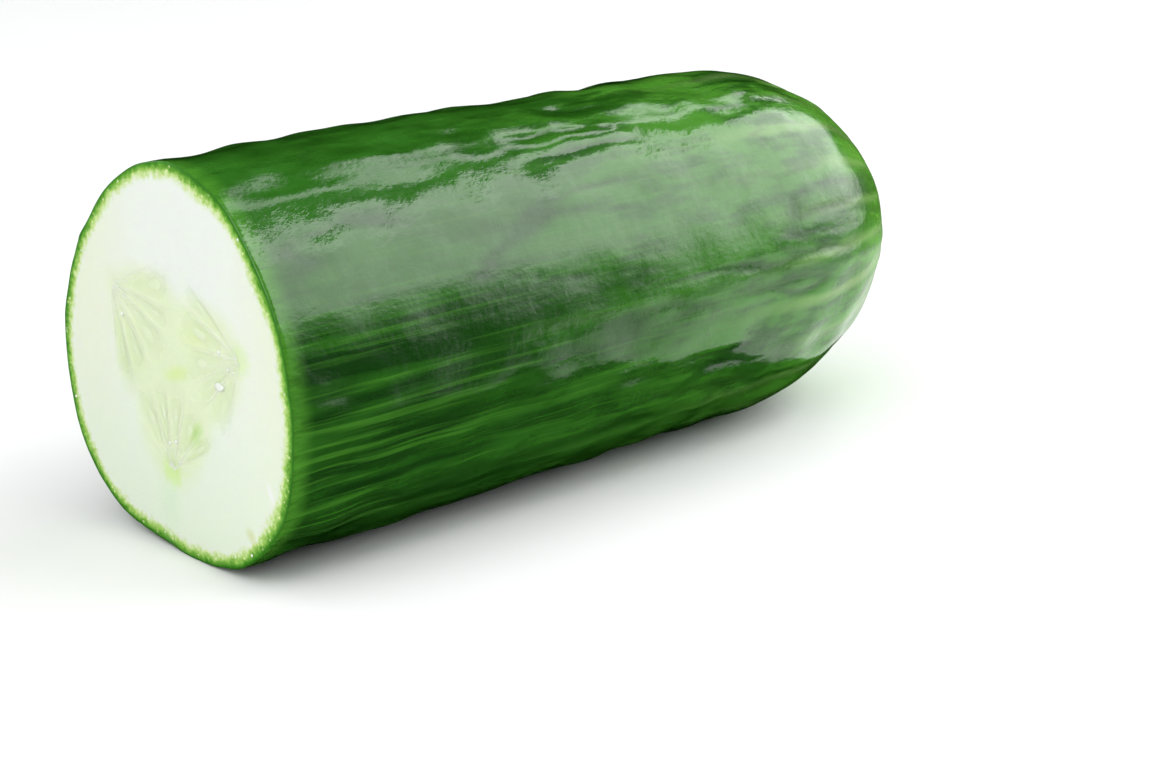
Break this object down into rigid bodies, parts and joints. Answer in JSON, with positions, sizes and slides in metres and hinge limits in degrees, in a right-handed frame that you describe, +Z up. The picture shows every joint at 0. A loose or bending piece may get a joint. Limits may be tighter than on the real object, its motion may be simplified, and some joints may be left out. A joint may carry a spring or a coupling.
{
  "type": "cut cucumber",
  "caption": "Rounded end piece of a long cucumber, cut square across to show pale flesh and seeds, lying on its side as food for kitchen and market scenes.",
  "frame": {"origin": "on the surface that the piece rests on, under the middle of its box", "axes": "+X from the cut face to the round blossom end, +Z up, away from the flat spot that it rests on"},
  "size_m": [0.1146, 0.0476, 0.048],
  "materials": {
    "skin": "satin",
    "flesh": "satin",
    "seed": "gloss"
  },
  "bodies": {
    "root": {"cucumber": "skin"}
  },
  "joints": []
}
